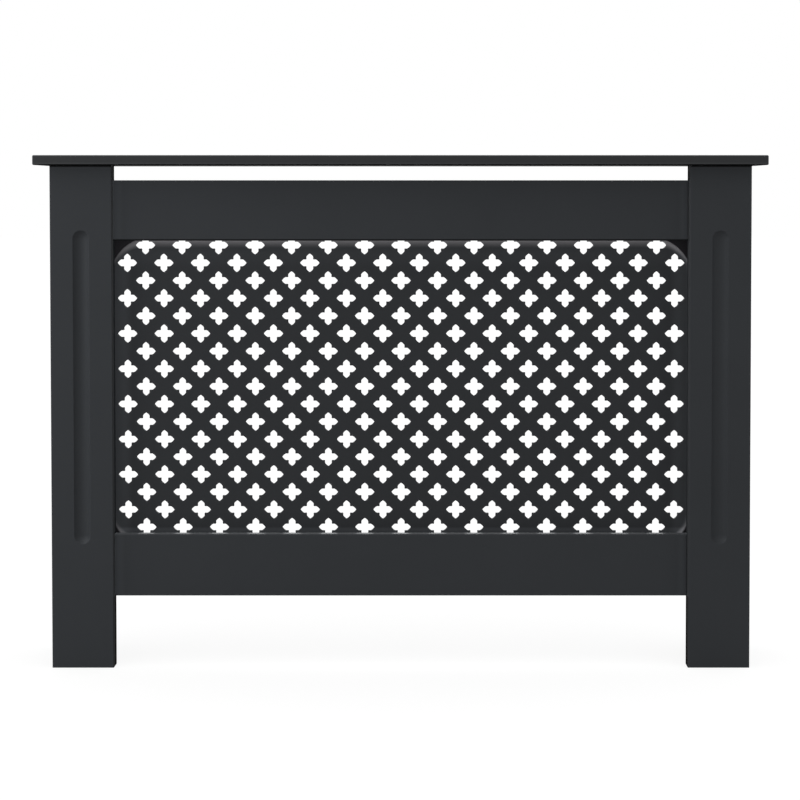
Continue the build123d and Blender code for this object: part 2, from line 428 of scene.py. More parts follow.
def make_arris_group() -> bpy.types.NodeTree:
    """The mask of a board's edges: where two of its three pairs of faces are near."""
    inputs = [
        Port("Place", VECTOR),
        Port("Centre", VECTOR),
        Port("Half Size", VECTOR),
        Port("Width", value=0.002),
    ]
    wiring, given, result = start_group("board_arris", inputs, [Port("Mask")])
    off_centre = wiring.vector("ABSOLUTE", wiring.vector("SUBTRACT", given["Place"], given["Centre"]))
    x, y, z = wiring.split(wiring.vector("SUBTRACT", given["Half Size"], off_centre))
    least = wiring.math("MINIMUM", x, y)
    most = wiring.math("MAXIMUM", x, y)
    second = wiring.math("MAXIMUM", least, wiring.math("MINIMUM", most, z))
    wiring.feed(result.inputs["Mask"], wiring.fade(second, given["Width"], 0.0))
    return wiring.tree


def make_line_group() -> bpy.types.NodeTree:
    """The mask of a line on a board: near one place along an axis, between two heights."""
    inputs = [
        Port("Place", VECTOR),
        Port("Axis", VECTOR),
        Port("At"),
        Port("Width", value=0.001),
        Port("Full Share", value=0.4),
        Port("Bottom"),
        Port("Top", value=1.0),
    ]
    wiring, given, result = start_group("board_line", inputs, [Port("Mask")])
    along = wiring.dot(given["Place"], given["Axis"])
    away = wiring.math("ABSOLUTE", wiring.math("SUBTRACT", along, given["At"]))
    full = wiring.math("MULTIPLY", given["Width"], given["Full Share"])
    height = wiring.split(given["Place"])[2]
    above = wiring.math("GREATER_THAN", height, given["Bottom"])
    below = wiring.math("LESS_THAN", height, given["Top"])
    between = wiring.math("MULTIPLY", above, below)
    mask = wiring.math("MULTIPLY", wiring.fade(away, given["Width"], full), between)
    wiring.feed(result.inputs["Mask"], mask)
    return wiring.tree


def make_spray_group() -> bpy.types.NodeTree:
    """Sprayed satin paint: faint clouds in its tone, orange peel and a few dust nibs."""
    inputs = [
        Port("Place", VECTOR),
        Port("Colour", COLOUR),
        Port("Cloud Size", value=0.2),
        Port("Cloud Tone", value=0.2),
        Port("Cloud Dullness", value=0.075),
        Port("Peel Size", value=0.002),
        Port("Nib Spacing", value=1 / 70),
        Port("Nib Share", value=0.03),
        Port("Roughness", value=0.5),
    ]
    outputs = [Port("Colour", COLOUR), Port("Roughness"), Port("Height")]
    wiring, given, result = start_group("sprayed_paint", inputs, outputs)
    place = given["Place"]
    cloud = wiring.noise(place, wiring.per_metre(given["Cloud Size"]), detail=4.0, roughness=0.6)
    swing = wiring.math("SUBTRACT", cloud, 0.5)
    tone = wiring.math("ADD", 1.0, wiring.math("MULTIPLY", swing, given["Cloud Tone"]))
    dullness = wiring.math("MULTIPLY", swing, given["Cloud Dullness"])
    peel = wiring.noise(place, wiring.per_metre(given["Peel Size"]), detail=1.5)
    nib_inputs = {"Vector": place, "Scale": wiring.per_metre(given["Nib Spacing"])}
    nib_distance = wiring.add("ShaderNodeTexVoronoi", nib_inputs).outputs["Distance"]
    nib = wiring.fade(nib_distance, given["Nib Share"], 0.0)
    wiring.feed(result.inputs["Colour"], wiring.vector("MULTIPLY", given["Colour"], tone))
    wiring.feed(result.inputs["Roughness"], wiring.math("ADD", given["Roughness"], dullness))
    wiring.feed(result.inputs["Height"], wiring.math("ADD", peel, nib))
    return wiring.tree


def make_timber_group() -> bpy.types.NodeTree:
    """Planed timber whose grain runs along Z: growth rings about a far pith, and fibres."""
    inputs = [
        Port("Place", VECTOR),
        Port("Pith", VECTOR, (0.06, 0.03, 0.0)),
        Port("Ring Spacing", value=0.003),
        Port("Waviness", value=6.0),
        Port("Wave Size", value=0.04),
        Port("Fibre Size", value=1 / 2600),
        Port("Latewood Start", value=0.75),
        Port("Latewood End", value=0.9),
        Port("Ring Relief", value=0.6),
        Port("Fibre Relief", value=0.5),
    ]
    outputs = [Port("Ring"), Port("Fibre"), Port("Height")]
    wiring, given, result = start_group("planed_timber", inputs, outputs)
    across, long_wave, long_fibre = (1.0, 1.0, 0.0), (1.0, 1.0, 0.06), (1.0, 1.0, 0.02)
    off_pith = wiring.vector("SUBTRACT", given["Place"], given["Pith"])
    from_pith = wiring.length(wiring.vector("MULTIPLY", off_pith, across))
    rings = wiring.math("DIVIDE", from_pith, given["Ring Spacing"])
    waves = wiring.vector("MULTIPLY", given["Place"], long_wave)
    wave = wiring.noise(waves, wiring.per_metre(given["Wave Size"]), detail=2.0)
    wander = wiring.math("MULTIPLY", wave, given["Waviness"])
    phase = wiring.math("FRACT", wiring.math("ADD", rings, wander))
    rise = wiring.fade(phase, 0.0, given["Latewood Start"])
    ring = wiring.math("MULTIPLY", rise, wiring.fade(phase, 1.0, given["Latewood End"]))
    fibres = wiring.vector("MULTIPLY", given["Place"], long_fibre)
    fibre = wiring.noise(fibres, wiring.per_metre(given["Fibre Size"]), detail=3.0)
    wiring.feed(result.inputs["Ring"], ring)
    wiring.feed(result.inputs["Fibre"], fibre)
    ring_height = wiring.math("MULTIPLY", ring, given["Ring Relief"])
    fibre_height = wiring.math("MULTIPLY", fibre, given["Fibre Relief"])
    wiring.feed(result.inputs["Height"], wiring.math("ADD", ring_height, fibre_height))
    return wiring.tree


def make_plating_group() -> bpy.types.NodeTree:
    """Zinc plating: faint crystals, rolling marks and dull patches."""
    inputs = [
        Port("Place", VECTOR),
        Port("Bright", COLOUR),
        Port("Dull", COLOUR),
        Port("Crystal Size", value=0.002),
        Port("Crystal Share", value=0.35),
        Port("Patch Size", value=1 / 220),
        Port("Mark Size", value=1 / 4000),
        Port("Roughness", value=0.35),
        Port("Roughness Swing", value=0.3),
    ]
    outputs = [Port("Colour", COLOUR), Port("Roughness"), Port("Height")]
    wiring, given, result = start_group("zinc_plating", inputs, outputs)
    place = given["Place"]
    crystal_inputs = {"Vector": place, "Scale": wiring.per_metre(given["Crystal Size"])}
    crystal = wiring.add("ShaderNodeTexVoronoi", crystal_inputs).outputs["Color"]
    patch = wiring.noise(place, wiring.per_metre(given["Patch Size"]), detail=4.0, roughness=0.65)
    drawn_out = wiring.vector("MULTIPLY", place, (1.0, 0.04, 1.0))
    marks = wiring.noise(drawn_out, wiring.per_metre(given["Mark Size"]), detail=2.0)
    patch_share = wiring.math("SUBTRACT", 1.0, given["Crystal Share"])
    crystals = wiring.math("MULTIPLY", wiring.split(crystal)[0], given["Crystal Share"])
    dullness = wiring.math("ADD", crystals, wiring.math("MULTIPLY", patch, patch_share))
    wiring.feed(result.inputs["Colour"], wiring.blend(dullness, given["Bright"], given["Dull"]))
    swing = wiring.math("SUBTRACT", dullness, 0.5)
    rougher = wiring.math("MULTIPLY", swing, given["Roughness Swing"])
    wiring.feed(result.inputs["Roughness"], wiring.math("ADD", given["Roughness"], rougher))
    height = wiring.math("ADD", wiring.math("MULTIPLY", marks, 0.5), wiring.math("MULTIPLY", patch, 0.5))
    wiring.feed(result.inputs["Height"], height)
    return wiring.tree


def make_recess_group() -> bpy.types.NodeTree:
    """How far a point lies outside a rounded upright rectangle, and how level the near edge is."""
    inputs = [
        Port("Place", VECTOR),
        Port("Centre", VECTOR),
        Port("Half Size", VECTOR),
        Port("Corner Radius", value=0.05),
        Port("Least Reach", value=1e-4),
    ]
    wiring, given, result = start_group("rounded_recess", inputs, [Port("Distance"), Port("Level")])
    off_centre = wiring.vector("ABSOLUTE", wiring.vector("SUBTRACT", given["Place"], given["Centre"]))
    x, _, z = wiring.split(wiring.vector("SUBTRACT", off_centre, given["Half Size"]))
    radius = given["Corner Radius"]
    past_x = wiring.math("ADD", x, radius)
    past_z = wiring.math("ADD", z, radius)
    corner = wiring.add(
        "ShaderNodeCombineXYZ",
        {"X": wiring.math("MAXIMUM", past_x, 0.0), "Z": wiring.math("MAXIMUM", past_z, 0.0)},
    ).outputs[0]
    inside = wiring.math("MINIMUM", wiring.math("MAXIMUM", past_x, past_z), 0.0)
    reach = wiring.length(corner)
    outside = wiring.math("SUBTRACT", reach, radius)
    divisor = wiring.math("MAXIMUM", reach, given["Least Reach"])
    level = wiring.math("DIVIDE", wiring.split(corner)[2], divisor)
    wiring.feed(result.inputs["Distance"], wiring.math("ADD", inside, outside))
    wiring.feed(result.inputs["Level"], level)
    return wiring.tree


@dataclass(frozen=True)
class Effects:
    """The node groups that the finishes share."""

    arris: bpy.types.NodeTree
    line: bpy.types.NodeTree
    spray: bpy.types.NodeTree
    timber: bpy.types.NodeTree
    plating: bpy.types.NodeTree
    recess: bpy.types.NodeTree

    @classmethod
    def build(cls) -> "Effects":
        """Build every group once."""
        return cls(
            make_arris_group(),
            make_line_group(),
            make_spray_group(),
            make_timber_group(),
            make_plating_group(),
            make_recess_group(),
        )


EFFECTS = Effects.build()


# ---------------------------------------------------------------------------------------
# Finishes
# ---------------------------------------------------------------------------------------


@dataclass(frozen=True)
class Box:
    """An upright box in the cabinet's frame."""

    low: Vector
    high: Vector

    @property
    def centre(self) -> Vector:
        """The middle of the box."""
        return (self.low + self.high) / 2

    @property
    def half(self) -> Vector:
        """Half the size of the box along each axis."""
        return (self.high - self.low) / 2

    @classmethod
    def of_node(cls, node: str) -> "Box":
        """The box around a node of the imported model."""
        return cls(*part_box(node))


@dataclass(frozen=True)
class Material:
    """A new material with a Principled shader, ready to be wired."""

    material: bpy.types.Material
    wiring: Wiring
    shader: bpy.types.Node
    place: Socket

    @classmethod
    def start(cls, name: str, **constants: float) -> "Material":
        """Begin a material.

        Args:
            name: What the material is called.
            constants: Values set directly on the shader's sockets, by name with underscores.

        Returns:
            The material, its wiring, its shader and its Object coordinates.
        """
        material = bpy.data.materials.new(name)
        material.use_nodes = True
        wiring = Wiring(material.node_tree)
        shader = material.node_tree.nodes["Principled BSDF"]
        for constant, value in constants.items():
            shader.inputs[constant.replace("_", " ")].default_value = value
        place = wiring.add("ShaderNodeTexCoord").outputs["Object"]
        return cls(material, wiring, shader, place)

    def group(self, tree: bpy.types.NodeTree, inputs: dict[str, object]) -> bpy.types.NodeOutputs:
        """Place a node group and return its outputs."""
        node = self.wiring.add("ShaderNodeGroup", node_tree=tree)
        for name, value in {"Place": self.place, **inputs}.items():
            self.wiring.feed(node.inputs[name], value)
        return node.outputs

    def draw_lines(
        self, lines: Iterable["ToneLine"], colour: Socket, roughness: Socket, where: object = 1.0
    ) -> tuple[Socket, Socket]:
        """Draw tone lines of painted shade and painted light over a colour.

        Args:
            lines: The lines.
            colour: The colour so far.
            roughness: The roughness so far.
            where: The mask of the faces that show them.

        Returns:
            The colour and roughness with the lines.
        """
        for line in lines:
            near = self.group(EFFECTS.line, line.measures())["Mask"]
            mask = self.wiring.math("MULTIPLY", near, where)
            tone = self.wiring.spread(mask, 1.0, line.style.tone)
            colour = self.wiring.vector("MULTIPLY", colour, tone)
            dulling = self.wiring.math("MULTIPLY", mask, line.style.dulling)
            roughness = self.wiring.math("ADD", roughness, dulling, clamp=True)
        return colour, roughness

    def connect(
        self, colour: object, roughness: object, height: object, relief: float
    ) -> bpy.types.Material:
        """Wire the surface's colour, roughness and relief to the shader.

        Args:
            colour: The base colour.
            roughness: The roughness.
            height: The relief, from about 0 to 1.
            relief: How far apart 0 and 1 are, in metres.

        Returns:
            The finished material.
        """
        self.wiring.feed(self.shader.inputs["Base Color"], colour)
        self.wiring.feed(self.shader.inputs["Roughness"], roughness)
        bump = self.wiring.add("ShaderNodeBump", {"Height": height, "Distance": relief, "Strength": 1.0})
        self.wiring.feed(self.shader.inputs["Normal"], bump.outputs["Normal"])
        return self.material


@dataclass(frozen=True)
class LineStyle:
    """How a line changes the paint: its tone, how far it reaches to either side, its dulling."""

    tone: float
    width: float
    dulling: float = 0.0


@dataclass(frozen=True)
class ToneLine:
    """A line on a board where painted shade darkens its colour, at joints and inner sides, or painted light
    lightens it, beside posts and along edges.
    """

    axis: Axis
    at: float
    style: LineStyle
    bottom: float = -1.0
    top: float = 1.0

    def measures(self) -> dict[str, object]:
        """Where the line is, as the inputs of its node group."""
        return {
            "Axis": self.axis.value,
            "At": self.at,
            "Width": self.style.width,
            "Bottom": self.bottom,
            "Top": self.top,
        }


@dataclass(frozen=True)
class BoardPaint:
    """Satin anthracite paint, a little lighter on the edges of a board: thinner paint there, and partly a
    painted highlight on the arrises.
    """

    colour: Colour = (0.0283, 0.0304, 0.0332)
    # Lighter edge colour: thinner paint on the arrises, and partly a painted highlight there.
    edge_wear_and_highlight_colour: Colour = (0.036, 0.038, 0.041)
    edge_width: float = 0.0022
    peel_depth: float = 0.00002
    roughness: float = 0.52
    specular: float = 0.08

    def material(self, name: str, box: Box, lines: tuple[ToneLine, ...] = ()) -> bpy.types.Material:
        """Make the paint of one board.

        Args:
            name: What the material is called.
            box: The board's box, whose edges are painted lighter, partly as thin paint and partly as a
                painted highlight.
            lines: The board's lines of painted shade and painted light.

        Returns:
            The material.
        """
        made = Material.start(name, Specular_IOR_Level=self.specular)
        paint = made.group(EFFECTS.spray, {"Colour": opaque(self.colour), "Roughness": self.roughness})
        measures = {"Centre": box.centre, "Half Size": box.half, "Width": self.edge_width}
        # The edges blend to the lighter colour: partly thin paint, partly a painted highlight.
        edge = made.group(EFFECTS.arris, measures)["Mask"]
        colour = made.wiring.blend(edge, paint["Colour"], opaque(self.edge_wear_and_highlight_colour))
        colour, roughness = made.draw_lines(lines, colour, paint["Roughness"])
        return made.connect(colour, roughness, paint["Height"], self.peel_depth)


@dataclass(frozen=True)
class GrillePaint:
    """The same paint on the routed board, with a painted highlight band below the level edge of its recess
    and painted shade on the rim outside it.
    """

    colour: Colour = (0.0234, 0.0248, 0.0269)
    # Painted highlight: the pale band below the level top edge of the recess.
    painted_highlight_colour: Colour = (0.19, 0.184, 0.192)
    # Painted shade on the rim outside the recess, where it shows in the top corners.
    rim_shade_colour: Colour = (0.0095, 0.0088, 0.0105)
    band_start: float = 0.0015
    band_end: float = 0.004
    level_start: float = 0.006
    level_end: float = 0.0175
    level_power: float = 3.0
    fall_power: float = 1.4
    level_from: float = 0.2
    level_to: float = 0.9
    peel_depth: float = 0.00002
    roughness: float = 0.55
    specular: float = 0.08

    def material(
        self, name: str, recess: Box, corner_radius: float, lines: tuple[ToneLine, ...]
    ) -> bpy.types.Material:
        """Make the paint of the grille board.

        Args:
            name: What the material is called.
            recess: The box of the recess.
            corner_radius: The radius of its corners.
            lines: Where painted light lightens the board beside the frame, against the shade that the frame
                casts there.

        Returns:
            The material.
        """
        made = Material.start(name, Specular_IOR_Level=self.specular)
        wiring = made.wiring
        paint = made.group(EFFECTS.spray, {"Colour": opaque(self.colour), "Roughness": self.roughness})
        measures = {"Centre": recess.centre, "Half Size": recess.half, "Corner Radius": corner_radius}
        edge = made.group(EFFECTS.recess, measures)
        inside = wiring.math("MULTIPLY", edge["Distance"], -1.0)
        # Painted highlight: a pale band that falls off below the level top edge of the recess.
        level = wiring.math("POWER", edge["Level"], self.level_power)
        start = wiring.spread(level, self.band_start, self.level_start)
        end = wiring.spread(level, self.band_end, self.level_end)
        fall = wiring.math("POWER", wiring.ramp(inside, end, start), self.fall_power)
        front = wiring.fade(wiring.split(made.place)[1], recess.high.y, recess.centre.y)
        # Painted light beside the posts and rails, on the front of the board.
        web, roughness = made.draw_lines(lines, paint["Colour"], paint["Roughness"], front)
        shown = wiring.fade(edge["Level"], self.level_from, self.level_to)
        band = wiring.math("MULTIPLY", fall, shown)
        colour = wiring.blend(wiring.math("MULTIPLY", band, front), web, opaque(self.painted_highlight_colour))
        # Painted shade: the rim outside the recess is darkened.
        rim = wiring.fade(inside, self.band_start, 0.0)
        colour = wiring.blend(wiring.math("MULTIPLY", rim, front), colour, opaque(self.rim_shade_colour))
        return made.connect(colour, roughness, paint["Height"], self.peel_depth)


class Grain(Enum):
    """The axis that a piece of timber's grain runs along, with the turn that brings it to Z."""

    X = (0.0, -math.pi / 2, 0.0)
    Y = (math.pi / 2, 0.0, 0.0)
    Z = (0.0, 0.0, 0.0)


@dataclass(frozen=True)
class Timber:
    """Bare planed timber."""

    early: Colour = (0.62, 0.44, 0.26)
    late: Colour = (0.36, 0.20, 0.09)
    ring_spacing: float = 0.0032
    waviness: float = 6.0
    fibre_strength: float = 0.35
    roughness: float = 0.62
    roughness_swing: float = 0.08
    specular: float = 0.3
    relief: float = 0.00006

    def material(self, name: str, box: Box, grain: Grain) -> bpy.types.Material:
        """Make the surface of one timber piece.

        Args:
            name: What the material is called.
            box: The piece's box, which the grain is centred on.
            grain: The axis that the grain runs along.

        Returns:
            The material.
        """
        made = Material.start(name, Specular_IOR_Level=self.specular)
        wiring = made.wiring
        centred = wiring.vector("SUBTRACT", made.place, box.centre)
        turned = wiring.add("ShaderNodeMapping", {"Vector": centred, "Rotation": grain.value}).outputs[0]
        timber = made.group(
            EFFECTS.timber,
            {"Place": turned, "Ring Spacing": self.ring_spacing, "Waviness": self.waviness},
        )
        fibre = timber["Fibre"]
        rings = wiring.blend(timber["Ring"], opaque(self.early), opaque(self.late))
        streak = wiring.spread(fibre, 1.0 + self.fibre_strength, 1.0 - self.fibre_strength)
        colour = wiring.vector("MULTIPLY", rings, streak)
        low, high = self.roughness - self.roughness_swing, self.roughness + self.roughness_swing
        return made.connect(colour, wiring.spread(fibre, low, high), timber["Height"], self.relief)


@dataclass(frozen=True)
class Plating:
    """Electroplated zinc on steel."""

    bright: Colour = (0.66, 0.67, 0.68)
    dull: Colour = (0.42, 0.43, 0.44)
    crystal_size: float = 0.0015
    roughness: float = 0.36
    relief: float = 0.000004

    def material(self, name: str) -> bpy.types.Material:
        """Make the plated surface."""
        made = Material.start(name, Metallic=1.0)
        zinc = made.group(
            EFFECTS.plating,
            {
                "Bright": opaque(self.bright),
                "Dull": opaque(self.dull),
                "Crystal Size": self.crystal_size,
                "Roughness": self.roughness,
            },
        )
        return made.connect(zinc["Colour"], zinc["Roughness"], zinc["Height"], self.relief)


# ---------------------------------------------------------------------------------------
# Sub-assemblies
# ---------------------------------------------------------------------------------------


class SubAssembly(ABC):
    """Pieces that are built and dressed together."""

    @abstractmethod
    def build(self) -> list[bpy.types.Object]:
        """Build and dress the pieces, and return them."""

    @staticmethod
    def dress(piece: bpy.types.Object, material: bpy.types.Material) -> bpy.types.Object:
        """Give a piece one material all over."""
        if not piece.material_slots:
            piece.data.materials.append(material)
        for slot in piece.material_slots:
            slot.material = material
        return piece

    @staticmethod
    def put_in_place(piece: bpy.types.Object, node: str, slot: Slot) -> bpy.types.Object:
        """Let a new piece stand for a node of the model.

        Args:
            piece: The new piece.
            node: The node that it replaces.
            slot: The material slot that its finish belongs to; not used.

        Returns:
            The piece.
        """
        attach(piece, ROOT_BODY)
        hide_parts(node)
        return piece


@dataclass
class Carcass(SubAssembly):
    """The painted boards: shelf, posts, stiles, side panels and rails."""

    paint: BoardPaint = BoardPaint()
    shelf_paint: BoardPaint = BoardPaint(colour=(0.0264, 0.0274, 0.0285))
    stile_paint: BoardPaint = BoardPaint(specular=0.0)
    # Painted shade at the shelf's underside where it meets the posts, and a painted highlight line just
    # above it.
    shelf_underside_shade: LineStyle = LineStyle(tone=0.0, width=0.0018, dulling=0.4)
    shelf_edge_highlight: LineStyle = LineStyle(tone=1.3, width=0.0014)
    lip_height: float = 0.0024
    # Painted shade on the uprights: under the shelf, and on the inner sides, darkest where they face the
    # slot and the gap at the floor.
    post_top_shade: LineStyle = LineStyle(tone=0.0, width=0.0036, dulling=0.4)
    inner_side_shade: LineStyle = LineStyle(tone=0.75, width=0.0006, dulling=0.5)
    deep_side_shade: LineStyle = LineStyle(tone=0.08, width=0.0006, dulling=0.5)
    # Painted shade along the upper rail's lower edge.
    lower_edge_shade: LineStyle = LineStyle(tone=0.2, width=0.0034, dulling=0.4)
    # Painted light at the rail ends, lifting the soft shade of the posts.
    rail_end_light: tuple[LineStyle, ...] = (LineStyle(tone=1.15, width=0.003), LineStyle(tone=1.28, width=0.018))

    def build(self) -> list[bpy.types.Object]:
        """Paint every board."""
        boards = [self.paint_shelf(), self.paint_upper_rail(), self.paint_rail("lower_rail")]
        for side in Side:
            boards.append(self.paint_upright(side, "post"))
            boards.append(self.paint_upright(side, "stile"))
            boards.append(self.paint_board(f"{side.hand}_side_panel", self.paint))
        return boards

    def paint_board(self, node: str, paint: BoardPaint, *lines: ToneLine) -> bpy.types.Object:
        """Paint one board of the model."""
        material = paint.material(f"paint_{node}", Box.of_node(node), lines)
        return self.dress(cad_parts[node], material)

    def paint_shelf(self) -> bpy.types.Object:
        """Paint the shelf, with painted shade where it meets the posts and a painted highlight line over
        that.
        """
        bottom = Box.of_node("top_shelf").low.z
        contact_shadow = ToneLine(Axis.Z, bottom, self.shelf_underside_shade)
        lip = ToneLine(Axis.Z, bottom + self.lip_height, self.shelf_edge_highlight)
        return self.paint_board("top_shelf", self.shelf_paint, contact_shadow, lip)

    def paint_rail(self, node: str, *lines: ToneLine) -> bpy.types.Object:
        """Paint a rail, with painted light towards both ends against the shade that the posts cast there."""
        box = Box.of_node(node)
        # Painted light at both ends of the rail.
        ends = [ToneLine(Axis.X, x, style) for x in (box.low.x, box.high.x) for style in self.rail_end_light]
        return self.paint_board(node, self.paint, *lines, *ends)

    def paint_upper_rail(self) -> bpy.types.Object:
        """Paint the upper rail, with painted shade along its lower edge."""
        under = ToneLine(Axis.Z, Box.of_node("upper_rail").low.z, self.lower_edge_shade)
        return self.paint_rail("upper_rail", under)

    def paint_upright(self, side: Side, board: str) -> bpy.types.Object:
        """Paint a post or stile: painted shade under the shelf and on its inner side, darkest above and
        below the rails.
        """
        node = f"{side.hand}_{board}"
        box = Box.of_node(node)
        inner_x = box.high.x if side is Side.LEFT else box.low.x
        bottom, top = Box.of_node("lower_rail").low.z, Box.of_node("upper_rail").high.z
        paint = self.paint if board == "post" else self.stile_paint
        # Painted shade: a dark line under the shelf, and the inner side darkened, most above and below the
        # rails.
        return self.paint_board(
            node,
            paint,
            ToneLine(Axis.Z, box.high.z, self.post_top_shade),
            ToneLine(Axis.X, inner_x, self.deep_side_shade, top=bottom),
            ToneLine(Axis.X, inner_x, self.inner_side_shade, bottom, top),
            ToneLine(Axis.X, inner_x, self.deep_side_shade, bottom=top),
        )


@dataclass
class Battens(SubAssembly):
    """The bare softwood battens in the corners and under the shelf, and the beech dowels."""

    softwood: Timber = Timber()
    beech: Timber = Timber(
        early=(0.60, 0.40, 0.24),
        late=(0.48, 0.29, 0.15),
        ring_spacing=0.0012,
        fibre_strength=0.2,
    )

    def build(self) -> list[bpy.types.Object]:
        """Dress every batten, cleat and dowel."""
        pieces = []
        for side in Side:
            pieces.append(self.dress_timber(f"{side.hand}_corner_batten", self.softwood, Grain.Z))
            pieces.append(self.dress_timber(f"{side.hand}_shelf_cleat", self.softwood, Grain.Y))
            pieces.append(self.dress_timber(f"{side.hand}_shelf_dowels", self.beech, Grain.Z))
        for rail in ("upper", "lower"):
            pieces.append(self.dress_timber(f"{rail}_rail_dowels", self.beech, Grain.X))
        return pieces

    def dress_timber(self, node: str, timber: Timber, grain: Grain) -> bpy.types.Object:
        """Give one timber node its grain."""
        material = timber.material(f"timber_{node}", Box.of_node(node), grain)
        return self.dress(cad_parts[node], material)


@dataclass(frozen=True)
class ScrewPlace:
    """Where one screw of the model sits: the middle of its head, the way that looks, its length."""

    head: Vector
    outwards: Vector
    length: float

    @property
    def matrix(self) -> Matrix:
        """The turn and move that bring a screw along Z, with its head at the origin, to this place."""
        turn = self.outwards.to_track_quat("Z", "Y").to_matrix().to_4x4()
        return Matrix.Translation(self.head) @ turn

    @classmethod
    def measure(cls, screw: bpy.types.Object) -> "ScrewPlace":
        """Measure a single screw, which runs along one of the axes and is widest at its head."""
        points = [vertex.co for vertex in screw.data.vertices]
        low = Vector([min(point[axis] for point in points) for axis in range(3)])
        high = Vector([max(point[axis] for point in points) for axis in range(3)])
        axis = max(range(3), key=lambda candidate: high[candidate] - low[candidate])
        ends = []
        for value, way in ((low[axis], -1.0), (high[axis], 1.0)):
            end = (low + high) / 2
            end[axis] = value
            width = max((point - end).length for point in points if abs(point[axis] - value) < TOLERANCE)
            ends.append((width, end, way))
        _, head, way = max(ends, key=lambda end: end[0])
        outwards = Vector((0, 0, 0))
        outwards[axis] = way
        return cls(head, outwards, high[axis] - low[axis])

    @classmethod
    def find(cls, node: str) -> list["ScrewPlace"]:
        """Find every screw of a node of the model, on a copy that is deleted again."""
        screws = copy_of(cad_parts[node], f"{node}_places")
        close_mesh(screws)
        select_only(screws)
        bpy.ops.mesh.separate(type="LOOSE")
        parts = list(bpy.context.selected_objects)
        places = [cls.measure(part) for part in parts]
        for part in parts:
            bpy.data.objects.remove(part)
        return places


@dataclass(frozen=True)
class Countersink:
    """A countersunk screw hole."""

    radius: float = 0.0021
    head_radius: float = 0.004
    head_height: float = 0.0022
    proud: float = 0.0005
    segments: int = 20

    def cut(self, piece: bpy.types.Object, places: list[ScrewPlace], depth: float) -> None:
        """Drill one hole at each place.

        Args:
            piece: What is drilled.
            places: The screws that the holes are for.
            depth: How deep the holes go.
        """
        profile = [
            (self.head_radius, self.proud),
            (self.head_radius, 0.0),
            (self.radius, -self.head_height),
            (self.radius, -depth),
        ]
        drill = add_turned("drill", profile, self.segments)
        drills = []
        for place in places:
            twin = copy_of(drill, "drill_copy")
            twin.matrix_world = place.matrix
            apply_place(twin)
            drills.append(twin)
        bpy.data.objects.remove(drill)
        cut_out(piece, join_pieces("drills", drills))


@dataclass(frozen=True)
class WoodScrew:
    """A countersunk cross-head wood screw, drawn along -Z from the middle of its head."""

    head_radius: float = 0.0038
    head_rim: float = 0.0001
    head_height: float = 0.0022
    neck_radius: float = 0.0015
    core_radius: float = 0.0012
    thread_radius: float = 0.00195
    thread_pitch: float = 0.0018
    thread_start: float = 0.006
    point: float = 0.005
    point_radius: float = 0.0002
    slot_length: float = 0.004
    slot_width: float = 0.0009
    slot_depth: float = 0.0012
    segments: int = 20
    thread_steps: int = 14

    def build(self, length: float) -> bpy.types.Object:
        """Turn the head and core, cut the cross and wind the thread."""
        start = min(self.thread_start, length / 3)
        profile = [
            (self.head_radius, 0.0),
            (self.head_radius, -self.head_rim),
            (self.neck_radius, -self.head_height),
            (self.neck_radius, -start),
            (self.core_radius, -start - self.neck_radius),
            (self.core_radius, self.point - length),
            (self.point_radius, -length),
        ]
        core = add_turned("screw_core", profile, self.segments)
        arm, half, depth = self.slot_length / 2, self.slot_width / 2, self.slot_depth
        for x, y in ((arm, half), (half, arm)):
            cut_out(core, add_box("slot", Vector((-x, -y, -depth)), Vector((x, y, depth))))
        screw = join_pieces(f"screw_{length * 1000:.0f}", [core, self.wind_thread(start, length)])
        smooth(screw)
        return screw

    def wind_thread(self, start: float, length: float) -> bpy.types.Object:
        """Wind a three-sided ridge about the core."""
        height = self.thread_radius - self.core_radius
        bpy.ops.object.select_all(action="DESELECT")
        bpy.ops.mesh.primitive_circle_add(
            vertices=3,
            radius=height,
            location=(self.core_radius, 0, -start),
            rotation=(math.pi / 2, math.pi / 2, 0),
        )
        thread = name_piece(bpy.context.object, "thread")
        apply_place(thread)
        turns = int((length - start - self.point) / self.thread_pitch)
        apply_modifier(
            thread,
            "SCREW",
            axis="Z",
            steps=self.thread_steps,
            render_steps=self.thread_steps,
            iterations=turns,
            screw_offset=-self.thread_pitch,
        )
        with editing(thread):
            bpy.ops.mesh.select_all(action="SELECT")
            bpy.ops.mesh.fill_holes(sides=3)
        close_mesh(thread)
        return thread


